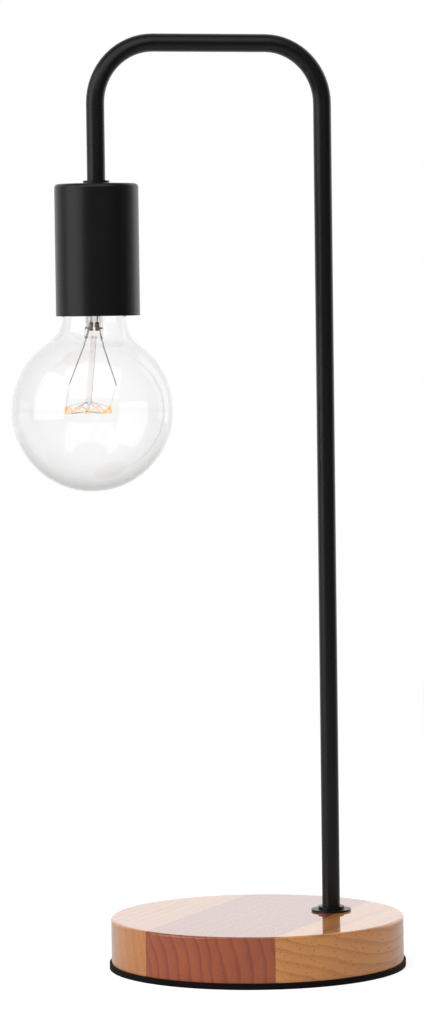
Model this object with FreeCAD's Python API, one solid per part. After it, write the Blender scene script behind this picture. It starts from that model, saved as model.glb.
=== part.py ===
import FreeCAD, Part
import math
import os

# Bare bulb table lamp. Millimetres, +Z up. The origin is the centre of the base's underside.
# The post stands at +X, the arm reaches towards -X and the bulb hangs at its end.

V = FreeCAD.Vector
os.makedirs("parts", exist_ok=True)

# ---- driving dimensions -------------------------------------------------------------------

# Base: a disc turned from three glued staves, on a soft pad
wood_diameter = 147.0
wood_thickness = 22.5
wood_edge_round = 1.2
stave_angle = 48.7            # direction in which the staves run, degrees from +X
glue_line_left = -32.0        # the two glue lines, measured across the staves from the centre
glue_line_right = 36.0
pad_thickness = 3.0
pad_overhang = 1.0            # how far the pad shows beyond the wood
recess_diameter = 116.0       # pocket in the underside
recess_depth = 14.0

# Ballast: a steel plate with one straight edge, screwed into the pocket's roof
ballast_thickness = 8.0
ballast_edge_x = 12.0
ballast_screw_circle = 80.0
ballast_screw_angles = (120.0, 180.0, 240.0)
ballast_screw_diameter = 3.5
ballast_screw_head = 7.0
ballast_screw_bite = 6.0      # length held in the wood
ballast_plate_gap = 1.0       # between the plate and the pocket's side
cross_width = 0.8             # the screws' cross recess
cross_length = 4.0
cross_depth = 1.2

# Post, bend, bar, bend and drop: one bent steel tube
tube_diameter = 9.0
tube_wall = 1.0
bend_radius = 30.0
post_x = 39.5                 # post axis from the base's centre
reach = 118.5                 # post axis to drop axis
bar_height = 462.0            # centre line of the bar above the table
drop_length = 37.8            # straight part of the drop, below its bend

# Flanged hollow nipples brazed into the tube's two ends
nipple_bore = 5.5
spigot_length = 12.0
flange_diameter = 13.0
flange_thickness = 1.5
thread_diameter = 10.0
thread_pitch = 1.0
thread_showing = 0.5          # thread left over below the foot nut

# Washers and nuts
foot_washer_diameter = 20.0
foot_washer_thickness = 1.0
lock_washer_diameter = 18.0
lock_washer_thickness = 1.0
nut_flats = 14.0
nut_thickness = 3.0

# Cord outlet bush in the wood, behind the post
bush_height = 8.0             # axis above the pad
bush_diameter = 10.0
bush_bore = 6.4
bush_flange_diameter = 13.0
bush_flange_thickness = 1.6
bush_proud = 0.5              # flange beyond the wood's side

# Terminal block in the pocket
block_length = 14.0
block_width = 12.0
block_height = 7.0
block_edge_gap = 3.0          # from the ballast plate's straight edge
block_pole_spacing = 5.6
block_pole_clear = 1.0        # from the block's middle to the inner wires' ends
block_tube_diameter = 4.0
block_screw_diameter = 2.6
block_screw_inset = 3.5
block_screw_sunk = 1.0        # screw head below the block's top
block_slot_width = 0.6
block_slot_depth = 0.7

# Inner wires, one each side of the tube's centre plane
wire_diameter = 2.0
wire_spacing = 2.4
wire_foot_bend = 5.5

# Socket cover: a drawn steel cup
cover_diameter = 41.5
cover_height = 65.0
cover_wall = 1.0
cover_corner = 2.0

# Lampholder. It hangs a little out of true on its thread, so it leans with the bulb.
holder_lean = 2.0             # degrees, lower end towards -X
holder_gap = 0.7              # under the head nut
neck_diameter = 16.0
neck_length = 7.0
nipple_in_holder = 1.0        # nipple end inside the dome
neck_wall = 1.0               # least step between the neck's bore and the dome's hollow
dome_shoulder = 5.0           # height of the sloping part
dome_side = 7.0               # height of the upright part
holder_diameter = 35.0
holder_wall = 1.1             # skirt wall beside the dome's lip
lip_height = 5.0
lip_wall = 0.9
insert_height = 7.0
skirt_length = 36.0
skirt_bore = 28.4
set_screw_diameter = 3.0
slot_depth = 0.8              # slots of the small screws
slot_width = 0.5
holder_edge = 0.6             # edges broken on the moulded halves

# Contacts of the lampholder
shell_wall = 0.4
shell_plate = 0.6
shell_length = 25.0
shell_hole = 12.0
shell_plain_turns = 1.5       # turns left unthreaded below the plate
well_diameter = 10.4
well_depth = 5.0
pin_diameter = 1.2
pin_x = 3.4
pin_rise = 3.2                # pin axis above the insert's underside
leaf_width = 4.0
leaf_thickness = 0.4
leaf_eye_wall = 0.5
leaf_heel = 1.5               # flat part of the leaf, each way from the axis
leaf_toe = 1.6
leaf_tip = 2.5                # raised tip from the axis
leaf_tip_rise = 1.2
leaf_root_low = 0.78          # where the leaf leaves its eye, as shares of the eye
leaf_root_high = 0.96
rivet_circle = 19.0
rivet_diameter = 2.4
rivet_head = 4.4
rivet_head_height = 1.0
terminal_size = 4.6
terminal_spacing = 7.0
terminal_wire_depth = 2.5
terminal_foot = 0.8
tail_width = 2.0
tail_in_well = 0.9
tail_below_pin = 1.2
foot_half_width = 2.0
terminal_screw_diameter = 2.5
terminal_screw_head = 4.0
terminal_screw_lift = 0.4

# Screw cap and its thread (27 mm Edison screw)
cap_pitch = 3.629
cap_crest_radius = 13.1
cap_root_radius = 12.1
groove_radius = 1.45
thread_gap = 0.25
sleeve_seam = 120.0           # degrees from +X to a threaded sleeve's seam
cap_length = 22.5
cap_skirt_length = 2.5
cap_skirt_radius = 13.9
cap_wall = 0.6
cap_shoulder = 3.0
cap_top_radius = 9.0
cap_top_land = 3.0            # the cap's flat top round its hole
cap_lip = 0.5                 # height of the flare below the barrel
cement_inset = 1.0            # cement above the cap's rim
contact_depth = 2.8           # the bulb's contact below the insert, with the leaf between
insulator_height = 1.7
insulator_top_radius = 5.5
contact_radius = 4.4
contact_height = 1.0

# Glass bulb, 80 mm globe
globe_radius = 40.0
glass_wall = 0.9
glass_neck_radius = 16.0
neck_blend_radius = 15.0
globe_below_cap = 53.0        # globe centre below the cap's rim
glass_end_radius = 11.2
glass_end_length = 5.0        # glass inside the cap

# Mount inside the bulb
stem_radius = 4.2
stem_wall = 0.8
flare_height = 8.0
press_width = 9.2
press_thickness = 3.4
press_height = 5.0
press_below_cap = 18.0        # bottom of the glass press below the cap's rim
rod_lean = 3.6                # degrees, the rod and filament against the bulb's axis
rod_radius = 1.35
rod_length = 30.5
button_radius = 1.8
tip_radius = 0.75
tip_length = 5.2
lead_radius = 0.35
lead_spacing = 3.2
lead_press_spacing = 7.2
lead_tip_spacing = 24.4
lead_tip_below_press = 22.5
ring_radius = 11.4
ring_below_press = 34.8
ring_tilt = -2.0              # degrees, the ring against the bulb's axis, so that it hangs level
zigzag_height = 3.4
zigzag_points = 8             # filament corners on each half of the ring
filament_radius = 0.25
support_radius = 0.16
bead_fullness = 1.15          # bead at a wire's bend against the wire

# Fits
running_gap = 0.05            # shaft in a hole
slip_gap = 0.2                # parts that only slide together at assembly
lean_gap = 0.45               # round the nipple and wires, where the holder leans
body_gap = 0.3                # between parts that move against each other
pin_gap = 0.02                # pin in the insert

# ---- heights worked out from them -----------------------------------------------------------

pad_top = pad_thickness
wood_top = pad_top + wood_thickness
roof = pad_top + recess_depth
foot_flange_base = wood_top + foot_washer_thickness
foot_flange_top = foot_flange_base + flange_thickness
foot_nut_base = roof - lock_washer_thickness - nut_thickness
foot_thread_end = foot_nut_base - thread_showing

drop_x = post_x - reach
drop_end = bar_height - bend_radius - drop_length
cover_top = drop_end - flange_thickness
cover_mouth = cover_top - cover_height
head_nut_base = cover_top - cover_wall - nut_thickness

neck_top = head_nut_base - holder_gap
neck_base = neck_top - neck_length
head_thread_end = neck_base - nipple_in_holder
lean_height = neck_top - neck_length / 2
dome_base = neck_base - dome_shoulder - dome_side
lip_base = dome_base - lip_height
insert_base = dome_base - insert_height
skirt_base = dome_base - skirt_length
shell_base = insert_base - shell_length

contact_top = insert_base - contact_depth
insulator_top = contact_top - contact_height
cap_top = insulator_top - insulator_height
cap_base = cap_top - cap_length
groove_start = cap_base + cap_skirt_length - 2 * cap_pitch
globe_height = cap_base - globe_below_cap
neck_blend_height = globe_height + math.sqrt(
    (globe_radius + neck_blend_radius) ** 2 - (glass_neck_radius + neck_blend_radius) ** 2)
glass_end = cap_base + glass_end_length
press_base = cap_base - press_below_cap
press_top = press_base + press_height

wood_radius = wood_diameter / 2
tube_radius = tube_diameter / 2
tube_bore = tube_radius - tube_wall
holder_radius = holder_diameter / 2
lip_radius = holder_radius - holder_wall - running_gap
insert_radius = lip_radius - lip_wall - slip_gap
shell_radius = cap_crest_radius + body_gap + shell_wall
wire_level = foot_thread_end - wire_foot_bend


# ---- shapes that repeat ---------------------------------------------------------------------

def disc(radius, base, height, x=0.0, y=0.0):
    """Upright round bar from its base height."""
    return Part.makeCylinder(radius, height, V(x, y, base))


def ring(outer, inner, base, height, x=0.0, y=0.0):
    """Upright round sleeve."""
    return disc(outer, base, height, x, y).cut(disc(inner, base, height, x, y))


def block(x_range, y_range, z_range):
    """Box between two values on each axis."""
    low = V(x_range[0], y_range[0], z_range[0])
    size = V(x_range[1], y_range[1], z_range[1]) - low
    return Part.makeBox(size.x, size.y, size.z, low)


def turned(points, x=0.0):
    """Solid turned about an upright axis at x, from (radius, height) points."""
    corners = [V(x + r, 0, z) for r, z in points]
    face = Part.Face(Part.makePolygon(corners + corners[:1]))
    return face.revolve(V(x, 0, 0), V(0, 0, 1), 360)


def rod(start, end, radius):
    """Round bar between two points."""
    axis = end - start
    return Part.makeCylinder(radius, axis.Length, start, axis)


def wire_chain(points, radius):
    """Thin bent wire: round bars joined by beads a little fuller than the wire."""
    bead = radius * bead_fullness
    parts = [rod(a, b, radius) for a, b in zip(points, points[1:])]
    parts += [Part.makeSphere(bead, p) for p in points[1:-1]]
    return parts[0].multiFuse(parts[1:])


def hex_nut(base, x):
    """Chamfered hexagon nut, bored to the nipple's thread."""
    corner = nut_flats / 2 / math.cos(math.pi / 6)
    points = [V(x + corner * math.cos(i * math.pi / 3), corner * math.sin(i * math.pi / 3), base)
              for i in range(7)]
    prism = Part.Face(Part.makePolygon(points)).extrude(V(0, 0, nut_thickness))
    chamfer = nut_thickness / 6
    crown = turned([(0, base), (nut_flats / 2, base), (corner, base + chamfer),
                    (corner, base + nut_thickness - chamfer),
                    (nut_flats / 2, base + nut_thickness), (0, base + nut_thickness)], x)
    return prism.common(crown).cut(disc(thread_diameter / 2, base, nut_thickness, x))


def nipple(x, flange_low, thread_end):
    """Hollow nipple: a spigot up in the tube, a flange and a thread below it."""
    flange_high = flange_low + flange_thickness
    spigot = tube_bore - running_gap
    body = disc(flange_diameter / 2, flange_low, flange_thickness, x)
    thread = disc(thread_diameter / 2, thread_end, flange_low - thread_end, x)
    # turn the thread's runs as shallow grooves, one to each pitch
    depth = thread_pitch * 0.3
    grooves = int((flange_low - thread_end - thread_pitch) / thread_pitch)
    for i in range(grooves):
        middle = thread_end + (i + 1) * thread_pitch
        r = thread_diameter / 2
        thread = thread.cut(turned([(r + 0.01, middle - depth), (r + 0.01, middle + depth),
                                    (r - depth, middle)], x))
    upper = disc(spigot, flange_high, spigot_length, x)
    whole = body.multiFuse([thread, upper])
    return whole.cut(disc(nipple_bore / 2, thread_end, flange_high + spigot_length - thread_end, x))


def screw_groove(path_radius, start, turns):
    """Round helical groove cutter with the cap's pitch, about the drop's axis."""
    cone_angle = 0.0
    helix = Part.makeLongHelix(cap_pitch, cap_pitch * turns, path_radius, cone_angle)
    helix.translate(V(0, 0, start))
    section = Part.Circle(V(path_radius, 0, start), V(0, 1, 0), groove_radius)
    cutter = Part.Wire(helix).makePipeShell([Part.Wire([section.toShape()])], True, True)
    cutter.translate(V(drop_x, 0, 0))
    return cutter


def threaded(blank, path_radius, start, turns):
    """Cut the groove into a sleeve, whose seam is first turned clear of the helix's start."""
    sleeve = blank.copy()
    sleeve.rotate(V(drop_x, 0, 0), V(0, 0, 1), sleeve_seam)
    cut = sleeve.cut(screw_groove(path_radius, start, turns))
    if not 0 < cut.Volume < 0.9 * blank.Volume:
        raise RuntimeError("the thread was not cut")
    return cut


def arch_path(offset_y, foot, drop_foot):
    """Edges of the tube's centre line, shifted sideways: post, bend, bar, bend, drop."""
    side = V(0, offset_y, 0)
    diagonal = bend_radius * math.sqrt(0.5)
    post_bend = V(post_x - bend_radius, 0, bar_height - bend_radius) + side
    drop_bend = V(drop_x + bend_radius, 0, bar_height - bend_radius) + side
    post_end = post_bend + V(bend_radius, 0, 0)
    bar_start = post_bend + V(0, 0, bend_radius)
    bar_end = drop_bend + V(0, 0, bend_radius)
    drop_start = drop_bend - V(bend_radius, 0, 0)
    return [
        Part.LineSegment(V(post_x, offset_y, foot), post_end),
        Part.Arc(post_end, post_bend + V(diagonal, 0, diagonal), bar_start),
        Part.LineSegment(bar_start, bar_end),
        Part.Arc(bar_end, drop_bend + V(-diagonal, 0, diagonal), drop_start),
        Part.LineSegment(drop_start, V(drop_x, offset_y, drop_foot)),
    ]


def swept(curves, radius, start, direction):
    """Round section swept along joined lines and arcs."""
    path = Part.Wire([c.toShape() for c in curves])
    section = Part.Wire([Part.Circle(start, direction, radius).toShape()])
    return path.makePipeShell([section], True, False)


# ---- base -----------------------------------------------------------------------------------

def ballast_screw_points():
    r = ballast_screw_circle / 2
    return [(r * math.cos(math.radians(a)), r * math.sin(math.radians(a)))
            for a in ballast_screw_angles]


def wood_disc():
    """The whole wooden disc, before it is parted along its glue lines."""
    body = disc(wood_radius, pad_top, wood_thickness)
    rims = [e for e in body.Edges if abs(e.BoundBox.ZLength) < 1e-6]
    body = body.makeFillet(wood_edge_round, [e for e in rims if e.BoundBox.ZMin > pad_top + 1])
    body = body.cut(disc(recess_diameter / 2, pad_top, recess_depth))
    body = body.cut(disc(thread_diameter / 2 + slip_gap, roof, wood_top - roof, post_x))
    bush_z = pad_top + bush_height
    outward = V(1, 0, 0)
    hole_radius = bush_diameter / 2 + running_gap
    hole = Part.makeCylinder(hole_radius, wood_radius, V(post_x, 0, bush_z), outward)
    seat_x = wood_radius + bush_proud - bush_flange_thickness
    seat_radius = bush_flange_diameter / 2 + slip_gap
    seat = Part.makeCylinder(seat_radius, wood_radius, V(seat_x, 0, bush_z), outward)
    body = body.cut(hole).cut(seat)
    for x, y in ballast_screw_points():
        body = body.cut(disc(ballast_screw_diameter / 2, roof, ballast_screw_bite, x, y))
    return body


def wood_staves():
    """The disc parted into its three staves, along two glue lines."""
    body = wood_disc()
    lines = [-wood_diameter, glue_line_left, glue_line_right, wood_diameter]
    staves = []
    for low, high in zip(lines, lines[1:]):
        slab = block((-wood_diameter, wood_diameter), (low, high), (0, wood_top + wood_thickness))
        # across the staves is +Y here, turned to the stave direction
        slab.rotate(V(0, 0, 0), V(0, 0, 1), stave_angle - 180)
        staves.append(body.common(slab))
    return staves


def ballast_plate():
    """Steel plate that fills the pocket on the bulb's side."""
    radius = recess_diameter / 2 - ballast_plate_gap
    plate = disc(radius, roof - ballast_thickness, ballast_thickness)
    beyond = block((ballast_edge_x, recess_diameter), (-recess_diameter, recess_diameter), (0, wood_top))
    plate = plate.cut(beyond)
    for x, y in ballast_screw_points():
        hole_radius = ballast_screw_diameter / 2 + slip_gap
        hole = disc(hole_radius, roof - ballast_thickness, ballast_thickness, x, y)
        plate = plate.cut(hole).cut(countersink(x, y, slip_gap))
    return plate


def countersink(x, y, gap):
    """Cone of a screw head, let into the plate's underside."""
    low = roof - ballast_thickness
    head = ballast_screw_head / 2 + gap
    shank = ballast_screw_diameter / 2 + gap
    return Part.makeCone(head, shank, head - shank, V(x, y, low))


def ballast_screws():
    """Three countersunk wood screws with a cross recess."""
    screws = []
    low = roof - ballast_thickness
    for x, y in ballast_screw_points():
        shank = disc(ballast_screw_diameter / 2, low, ballast_thickness + ballast_screw_bite, x, y)
        screw = shank.fuse(countersink(x, y, 0))
        for w, l in ((cross_width, cross_length), (cross_length, cross_width)):
            recess = block((x - w / 2, x + w / 2), (y - l / 2, y + l / 2), (low, low + cross_depth))
            screw = screw.cut(recess)
        screws.append(screw)
    return Part.makeCompound(screws)


def cord_bush():
    """Flanged bush that lines the cord's way out of the wood."""
    axis = V(1, 0, 0)
    z = pad_top + bush_height
    outer_x = wood_radius + bush_proud
    seat_x = outer_x - bush_flange_thickness
    inner_x = recess_diameter / 2
    body = Part.makeCylinder(bush_diameter / 2, seat_x - inner_x, V(inner_x, 0, z), axis)
    flange = Part.makeCylinder(bush_flange_diameter / 2, bush_flange_thickness, V(seat_x, 0, z), axis)
    rim = [e for e in flange.Edges if e.BoundBox.XMin > outer_x - 0.01]
    flange = flange.makeFillet(bush_flange_thickness / 3, rim)
    bore = Part.makeCylinder(bush_bore / 2, outer_x - inner_x, V(inner_x, 0, z), axis)
    return body.fuse(flange).cut(bore)


def block_x():
    low = ballast_edge_x + block_edge_gap
    return low, low + block_length


def block_poles():
    return (-block_pole_spacing / 2, block_pole_spacing / 2)


def terminal_block():
    """Two-pole insulating block on the pad, bored for its brass tubes and screws."""
    low_x, high_x = block_x()
    low_z = wire_level - block_height / 2
    body = block((low_x, high_x), (-block_width / 2, block_width / 2), (low_z, low_z + block_height))
    for y in block_poles():
        start = V(low_x, y, wire_level)
        body = body.cut(Part.makeCylinder(block_tube_diameter / 2, block_length, start, V(1, 0, 0)))
        for x in block_screw_xs():
            body = body.cut(disc(block_screw_diameter / 2 + slip_gap, wire_level, block_height, x, y))
    return body


def block_screw_xs():
    low_x, high_x = block_x()
    return (low_x + block_screw_inset, high_x - block_screw_inset)


def block_tubes():
    """Brass clamping tubes of the terminal block."""
    low_x, _ = block_x()
    tubes = []
    for y in block_poles():
        start = V(low_x, y, wire_level)
        along = V(1, 0, 0)
        tube = Part.makeCylinder(block_tube_diameter / 2 - running_gap, block_length, start, along)
        tube = tube.cut(Part.makeCylinder(wire_diameter / 2 + slip_gap, block_length, start, along))
        for x in block_screw_xs():
            tube = tube.cut(disc(block_screw_diameter / 2, wire_level, block_height, x, y))
        tubes.append(tube)
    return Part.makeCompound(tubes)


def block_screws():
    """Slotted clamping screws of the terminal block."""
    screws = []
    low_z = wire_level + wire_diameter / 2 + slip_gap
    high_z = wire_level + block_height / 2 - block_screw_sunk
    slot_half = block_slot_width / 2
    radius = block_screw_diameter / 2 - running_gap
    for y in block_poles():
        for x in block_screw_xs():
            slot = block((x - slot_half, x + slot_half), (y - radius, y + radius),
                         (high_z - block_slot_depth, high_z))
            screws.append(disc(radius, low_z, high_z - low_z, x, y).cut(slot))
    return Part.makeCompound(screws)


# ---- arm ------------------------------------------------------------------------------------

def arch_tube():
    """The bent steel tube, hollow from end to end."""
    start = V(post_x, 0, foot_flange_top)
    path = arch_path(0, foot_flange_top, drop_end)
    outside = swept(path, tube_radius, start, V(0, 0, 1))
    return outside.cut(swept(path, tube_bore, start, V(0, 0, 1)))


def s_bend(start, along, aside, length, offset):
    """Two equal arcs that shift a wire sideways over a length."""
    half = math.atan2(offset, length)
    radius = length / (2 * math.sin(2 * half))
    step = along * (radius * math.sin(half)) + aside * (radius * (1 - math.cos(half)))
    end = start + along * length + aside * offset
    middle = (start + end) * 0.5
    return [Part.Arc(start, start + step, middle), Part.Arc(middle, end - step, end)]


def inner_wire(side):
    """Insulated wire from the terminal block through the tube to the holder; side is +1 or -1."""
    low_x, high_x = block_x()
    in_tube = side * wire_spacing / 2
    at_block = side * block_pole_spacing / 2
    at_holder = side * terminal_spacing / 2
    aside = V(0, side, 0)
    start = V((low_x + high_x) / 2 + block_pole_clear, at_block, wire_level)
    leave = V(high_x, at_block, wire_level)
    bend_start = V(post_x - wire_foot_bend, in_tube, wire_level)
    diagonal = wire_foot_bend * math.sqrt(0.5)
    bend_centre = bend_start + V(0, 0, wire_foot_bend)
    bend_end = bend_centre + V(wire_foot_bend, 0, 0)
    splay = V(drop_x, in_tube, head_thread_end)
    terminal_top = dome_base + terminal_size
    end = V(drop_x, at_holder, terminal_top - terminal_wire_depth + body_gap)
    curves = [Part.LineSegment(start, leave)]
    foot_run = bend_start.x - leave.x
    curves += s_bend(leave, V(1, 0, 0), aside * -1, foot_run, abs(at_block - in_tube))
    curves += [Part.Arc(bend_start, bend_centre + V(diagonal, 0, -diagonal), bend_end)]
    curves += arch_path(in_tube, foot_thread_end, head_thread_end)
    head_run = head_thread_end - terminal_top
    curves += s_bend(splay, V(0, 0, -1), aside, head_run, abs(at_holder - in_tube))
    curves += [Part.LineSegment(V(drop_x, at_holder, terminal_top), end)]
    return swept(curves, wire_diameter / 2, start, V(1, 0, 0))


# ---- cover and lampholder, upright; the holder is leaned at the end ---------------------------

def socket_cover():
    """Drawn steel cup with a hole for the nipple."""
    r = cover_diameter / 2
    outside = disc(r, cover_mouth, cover_height, drop_x)
    rim = [e for e in outside.Edges if e.BoundBox.ZMin > cover_top - 0.01]
    outside = outside.makeFillet(cover_corner, rim)
    hollow = disc(r - cover_wall, cover_mouth, cover_height - cover_wall, drop_x)
    roof_rim = [e for e in hollow.Edges if e.BoundBox.ZMin > cover_top - cover_wall - 0.01]
    hollow = hollow.makeFillet(cover_corner - cover_wall, roof_rim)
    hole = disc(thread_diameter / 2 + slip_gap, cover_mouth, cover_height, drop_x)
    return outside.cut(hollow).cut(hole)


def holder_dome():
    """Upper half of the holder: threaded neck, sloping shoulder, lip inside the skirt."""
    r = holder_radius
    bore = thread_diameter / 2 + lean_gap
    neck = neck_diameter / 2
    side_top = dome_base + dome_side
    inside = lip_radius - lip_wall
    outline = [(bore, neck_top), (neck, neck_top), (neck, neck_base),
               (r - neck_wall, side_top + holder_edge), (r, side_top - holder_edge), (r, dome_base),
               (lip_radius, dome_base), (lip_radius, lip_base), (inside, lip_base),
               (inside, side_top - neck_wall), (bore + neck_wall, neck_base), (bore, neck_base)]
    dome = turned(outline, drop_x)
    screw = Part.makeCylinder(set_screw_diameter / 2, neck, V(drop_x, 0, lean_height), V(0, -1, 0))
    return dome.cut(screw)


def set_screw():
    """Grub screw that locks the holder on the nipple."""
    start = thread_diameter / 2 + lean_gap - slip_gap
    length = neck_diameter / 2 - start
    radius = set_screw_diameter / 2 - running_gap
    screw = Part.makeCylinder(radius, length, V(drop_x, -start, lean_height), V(0, -1, 0))
    slot = block((drop_x - radius, drop_x + radius),
                 (-neck_diameter, -neck_diameter / 2 + slot_depth),
                 (lean_height - slot_width / 2, lean_height + slot_width / 2))
    return screw.cut(slot)


def holder_skirt():
    """Lower half of the holder: the insulating sleeve round the screw shell."""
    r = holder_radius
    bore = skirt_bore / 2
    seat = lip_radius + running_gap
    outline = [(bore, skirt_base), (r - holder_edge, skirt_base), (r, skirt_base + holder_edge),
               (r, dome_base),
               (seat, dome_base), (seat, lip_base), (insert_radius + slip_gap, lip_base),
               (insert_radius + slip_gap, insert_base), (bore, insert_base)]
    return turned(outline, drop_x)


def rivet_points():
    r = rivet_circle / 2
    return [(drop_x, r), (drop_x, -r)]


def live_tail():
    """Range of the live terminal's tail, which reaches down to the contact pin."""
    low_y = well_diameter / 2 - tail_in_well
    middle = drop_x + pin_x
    return (middle - tail_width / 2, middle + tail_width / 2), (low_y, low_y + terminal_foot)


def holder_insert():
    """Steatite core with the contact well and the holes of its metal parts."""
    body = disc(insert_radius, insert_base, insert_height, drop_x)
    body = body.cut(disc(well_diameter / 2, insert_base, well_depth, drop_x))
    for x, y in rivet_points():
        body = body.cut(disc(rivet_diameter / 2 + running_gap, insert_base, insert_height, x, y))
    tail_x, tail_y = live_tail()
    grown_x = (tail_x[0] - running_gap, tail_x[1] + running_gap)
    grown_y = (tail_y[0] - running_gap, tail_y[1] + running_gap)
    body = body.cut(block(grown_x, grown_y, (insert_base + pin_rise - tail_below_pin, dome_base)))
    half = pin_half_length()
    hole = rod(pin_point(-half), pin_point(half), pin_diameter / 2 + pin_gap)
    return body.cut(hole)


def pin_point(y):
    return V(drop_x + pin_x, y, insert_base + pin_rise)


def pin_half_length():
    """The pin spans the well and ends in the live tail's far side."""
    return live_tail()[1][1] + slip_gap


def contact_pin():
    """Pin on which the centre contact rocks."""
    half = pin_half_length()
    return rod(pin_point(-half), pin_point(half), pin_diameter / 2)


def centre_contact():
    """Sprung tongue: an eye round the pin, and a strip that bends down to the bulb's contact."""
    eye_bore = pin_diameter / 2 + running_gap
    eye_radius = eye_bore + leaf_eye_wall
    eye = rod(pin_point(-leaf_width / 2), pin_point(leaf_width / 2), eye_radius)
    low = contact_top + body_gap
    x = drop_x
    t = leaf_thickness
    eye_z = insert_base + pin_rise
    end_z = low + leaf_tip_rise
    outline = [(x + pin_x - eye_radius * leaf_root_low, eye_z - 2 * t), (x + leaf_heel, low),
               (x - leaf_toe, low), (x - leaf_tip, end_z), (x - leaf_tip + t, end_z + t / 2),
               (x - leaf_toe + t / 2, low + t), (x + leaf_heel - t / 2, low + t),
               (x + pin_x - eye_radius * leaf_root_high, eye_z)]
    corners = [V(px, -leaf_width / 2, pz) for px, pz in outline]
    strip = Part.Face(Part.makePolygon(corners + corners[:1])).extrude(V(0, leaf_width, 0))
    bore = rod(pin_point(-leaf_width), pin_point(leaf_width), eye_bore)
    return eye.fuse(strip).cut(bore).removeSplitter()


def screw_shell():
    """Threaded brass shell with its riveted plate."""
    inner = cap_root_radius + thread_gap
    shell = ring(shell_radius, inner, shell_base, shell_length - shell_plate, drop_x)
    start = groove_start - cap_pitch / 2
    turns = (insert_base - start) / cap_pitch - shell_plain_turns
    path = inner - (groove_radius - (cap_crest_radius + body_gap - inner))
    shell = threaded(shell, path, start, turns)
    plate = ring(shell_radius, shell_hole / 2, insert_base - shell_plate, shell_plate, drop_x)
    shell = shell.fuse(plate)
    hole_radius = rivet_diameter / 2 + running_gap
    for x, y in rivet_points():
        shell = shell.cut(disc(hole_radius, insert_base - shell_plate, shell_plate, x, y))
    return shell


def shell_rivets():
    """Two rivets that hold the shell's plate under the insert."""
    rivets = []
    low = insert_base - shell_plate
    for x, y in rivet_points():
        top = dome_base + (terminal_foot if y < 0 else 0)
        shank = disc(rivet_diameter / 2, low, top - low, x, y)
        heads = [disc(rivet_head / 2, low - rivet_head_height, rivet_head_height, x, y),
                 disc(rivet_head / 2, top, rivet_head_height, x, y)]
        rivets.append(shank.multiFuse(heads))
    return Part.makeCompound(rivets)


def terminal_screw_height():
    return dome_base + terminal_screw_diameter / 2 + terminal_screw_lift


def terminal(side, tails):
    """Brass terminal with its tails, a wire hole from above and a screw hole from the side."""
    half = terminal_size / 2
    y = side * terminal_spacing / 2
    top = dome_base + terminal_size
    body = block((drop_x - half, drop_x + half), (y - half, y + half), (dome_base, top))
    body = body.multiFuse(tails)
    hole_radius = wire_diameter / 2 + lean_gap
    wire_hole = disc(hole_radius, top - terminal_wire_depth, terminal_wire_depth, drop_x, y)
    start = V(drop_x, y, terminal_screw_height())
    screw_hole = Part.makeCylinder(terminal_screw_diameter / 2, half, start, V(-1, 0, 0))
    return body.cut(wire_hole).cut(screw_hole)


def live_terminal():
    """Terminal with a tail down through the insert to the contact pin."""
    tail_x, tail_y = live_tail()
    foot = block((drop_x, tail_x[1]), tail_y, (dome_base, dome_base + terminal_foot))
    tail = block(tail_x, tail_y, (insert_base + pin_rise - tail_below_pin, dome_base + terminal_foot))
    pin = rod(pin_point(0), pin_point(well_diameter), pin_diameter / 2)
    return terminal(1, [foot, tail]).cut(pin)


def neutral_terminal():
    """Terminal with a foot held under one rivet, which leads to the screw shell."""
    y = -rivet_circle / 2
    foot_y = (y - rivet_diameter, -terminal_spacing / 2)
    foot_x = (drop_x - foot_half_width, drop_x + foot_half_width)
    foot = block(foot_x, foot_y, (dome_base, dome_base + terminal_foot))
    rivet = disc(rivet_diameter / 2 + running_gap, dome_base, terminal_foot, drop_x, y)
    head = disc(rivet_head / 2 + running_gap, dome_base + terminal_foot, terminal_size, drop_x, y)
    return terminal(-1, [foot]).cut(rivet).cut(head)


def terminal_screws():
    """Two slotted screws that clamp the wires."""
    screws = []
    z = terminal_screw_height()
    reach_in = wire_diameter / 2 + lean_gap
    seat = terminal_size / 2 + running_gap
    head_radius = min(terminal_screw_head / 2, z - dome_base)
    head_height = terminal_screw_diameter / 2
    axis = V(-1, 0, 0)
    for side in (1, -1):
        y = side * terminal_spacing / 2
        shank_radius = terminal_screw_diameter / 2 - running_gap
        shank = Part.makeCylinder(shank_radius, seat - reach_in, V(drop_x - reach_in, y, z), axis)
        head = Part.makeCylinder(head_radius, head_height, V(drop_x - seat, y, z), axis)
        outer = drop_x - seat - head_height
        slot = block((outer, outer + slot_depth), (y - head_radius, y + head_radius),
                     (z - slot_width / 2, z + slot_width / 2))
        screws.append(shank.fuse(head).cut(slot))
    return Part.makeCompound(screws)


# ---- bulb, upright; it leans with the holder ---------------------------------------------------

def glass_outline(wall):
    """Edges of the glass from its bottom pole up to its open end, a wall's depth inside."""
    globe = globe_radius - wall
    blend = neck_blend_radius + wall
    neck = glass_neck_radius - wall
    end = glass_end_radius - wall
    centre = V(drop_x, 0, globe_height)
    blend_centre = V(drop_x + glass_neck_radius + neck_blend_radius, 0, neck_blend_height)
    towards = (blend_centre - centre).normalize()
    pole = centre - V(0, 0, globe)
    tangent = centre + towards * globe
    neck_low = V(drop_x + neck, 0, neck_blend_height)
    inward = (neck_low - blend_centre).normalize()
    blend_middle = blend_centre + (inward - towards).normalize() * blend
    shoulder = V(drop_x + neck, 0, (neck_blend_height + cap_base) / 2)
    rim = V(drop_x + end, 0, cap_base + cement_inset)
    top = V(drop_x + end, 0, glass_end)
    return [
        Part.Arc(pole, centre + V(globe, 0, 0), tangent),
        Part.Arc(tangent, blend_middle, neck_low),
        Part.LineSegment(neck_low, shoulder),
        Part.LineSegment(shoulder, rim),
        Part.LineSegment(rim, top),
    ]


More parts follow.
